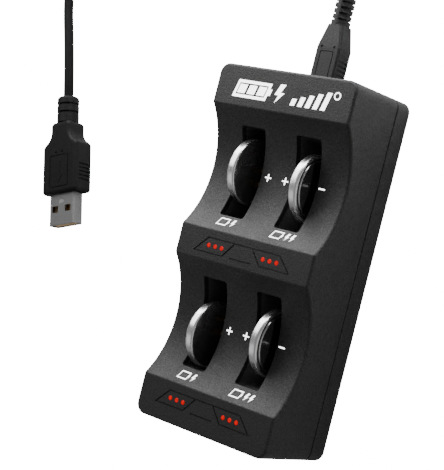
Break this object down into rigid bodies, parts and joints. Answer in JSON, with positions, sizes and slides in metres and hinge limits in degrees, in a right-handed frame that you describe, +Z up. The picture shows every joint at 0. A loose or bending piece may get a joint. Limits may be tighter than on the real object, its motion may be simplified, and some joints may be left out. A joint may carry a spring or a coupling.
{
  "type": "coin cell charger",
  "caption": "Coin cell battery charger with scooped slots holding flat round cells on edge, rows of red status lights, and a micro USB lead ending in a USB-A plug.",
  "frame": {"origin": "centre of the resting face of the casing, bottom centre of the charger without its lead", "axes": "+X to the right across the casing, +Y along the casing towards the USB port, +Z up out of the slotted face"},
  "size_m": [0.1575, 0.197, 0.0287],
  "materials": {
    "casing_plastic": "fine spark-eroded grain, black",
    "cradle_plastic": "matt black",
    "screw_steel": "zinc plated",
    "board_laminate": "green solder mask",
    "chip_epoxy": "moulded epoxy",
    "capacitor_ceramic": "fired ceramic",
    "led_body": "clear over white",
    "light_red": "clear polycarbonate lit red",
    "port_steel": "nickel plated",
    "port_plastic": "black liquid crystal polymer",
    "contact_bronze": "phosphor bronze, satin",
    "cell_steel": "polished stainless steel",
    "cell_cap_steel": "polished stainless steel",
    "gasket_plastic": "nylon seal",
    "cell_core": "electrode stack",
    "lead_moulding": "soft PVC, fine grain",
    "plug_moulding": "soft PVC of the plug in the port, a shade lighter, fine grain",
    "cord_jacket": "smooth PVC jacket",
    "tie_plastic": "flat plastic strip",
    "plug_steel": "satin nickel",
    "plug_insulator": "white polyamide",
    "contact_gold": "gold flash",
    "print_ink": "white pad print"
  },
  "bodies": {
    "charger": {"top_shell": "casing_plastic", "bottom_shell": "casing_plastic", "upper_cell_cradle": "cradle_plastic", "lower_cell_cradle": "cradle_plastic", "case_screws": "screw_steel", "circuit_board": "board_laminate", "charge_controllers": "chip_epoxy", "board_capacitors": "capacitor_ceramic", "status_leds": "led_body", "light_guide_1": "light_red", "light_guide_2": "light_red", "light_guide_3": "light_red", "light_guide_4": "light_red", "usb_port_shell": "port_steel", "usb_port_tongue": "port_plastic", "minus_contact_1": "contact_bronze", "minus_contact_2": "contact_bronze", "minus_contact_3": "contact_bronze", "minus_contact_4": "contact_bronze"},
    "cell_1": {"cell_1_can": "cell_steel", "cell_1_gasket": "gasket_plastic", "cell_1_cap": "cell_cap_steel", "cell_1_core": "cell_core"},
    "spring_1": {"plus_spring_1": "contact_bronze"},
    "cell_2": {"cell_2_can": "cell_steel", "cell_2_gasket": "gasket_plastic", "cell_2_cap": "cell_cap_steel", "cell_2_core": "cell_core"},
    "spring_2": {"plus_spring_2": "contact_bronze"},
    "cell_3": {"cell_3_can": "cell_steel", "cell_3_gasket": "gasket_plastic", "cell_3_cap": "cell_cap_steel", "cell_3_core": "cell_core"},
    "spring_3": {"plus_spring_3": "contact_bronze"},
    "cell_4": {"cell_4_can": "cell_steel", "cell_4_gasket": "gasket_plastic", "cell_4_cap": "cell_cap_steel", "cell_4_core": "cell_core"},
    "spring_4": {"plus_spring_4": "contact_bronze"},
    "lead": {"micro_plug_shell": "port_steel", "micro_plug_insulator": "port_plastic", "micro_plug_body": "plug_moulding", "micro_strain_relief": "plug_moulding", "cord_to_port": "cord_jacket", "cord_coil": "cord_jacket", "coil_tie": "tie_plastic", "cord_to_plug": "cord_jacket", "usb_a_strain_relief": "lead_moulding", "usb_a_body": "lead_moulding", "usb_a_shell": "plug_steel", "usb_a_insulator": "plug_insulator", "usb_a_contacts": "contact_gold"}
  },
  "joints": [
    {"name": "cell_1_lift", "type": "slide", "parent": "charger", "child": "cell_1", "axis": [0, 0, 1], "range_m": [0, 0.025]},
    {"name": "spring_1_flex", "type": "hinge", "parent": "charger", "child": "spring_1", "pos_m": [-0.0064, 0.0229, 0.00795], "axis": [0, 1, 0], "range_deg": [0, 4], "stiffness_Nm_per_rad": 0.02},
    {"name": "cell_2_lift", "type": "slide", "parent": "charger", "child": "cell_2", "axis": [0, 0, 1], "range_m": [0, 0.025]},
    {"name": "spring_2_flex", "type": "hinge", "parent": "charger", "child": "spring_2", "pos_m": [0.0064, 0.0229, 0.00795], "axis": [0, -1, 0], "range_deg": [0, 4], "stiffness_Nm_per_rad": 0.02},
    {"name": "cell_3_lift", "type": "slide", "parent": "charger", "child": "cell_3", "axis": [0, 0, 1], "range_m": [0, 0.025]},
    {"name": "spring_3_flex", "type": "hinge", "parent": "charger", "child": "spring_3", "pos_m": [-0.0064, -0.0229, 0.00795], "axis": [0, 1, 0], "range_deg": [0, 4], "stiffness_Nm_per_rad": 0.02},
    {"name": "cell_4_lift", "type": "slide", "parent": "charger", "child": "cell_4", "axis": [0, 0, 1], "range_m": [0, 0.025]},
    {"name": "spring_4_flex", "type": "hinge", "parent": "charger", "child": "spring_4", "pos_m": [0.0064, -0.0229, 0.00795], "axis": [0, -1, 0], "range_deg": [0, 4], "stiffness_Nm_per_rad": 0.02},
    {"name": "lead_unplug", "type": "slide", "parent": "charger", "child": "lead", "axis": [0, 1, 0], "range_m": [0, 0.008]}
  ]
}
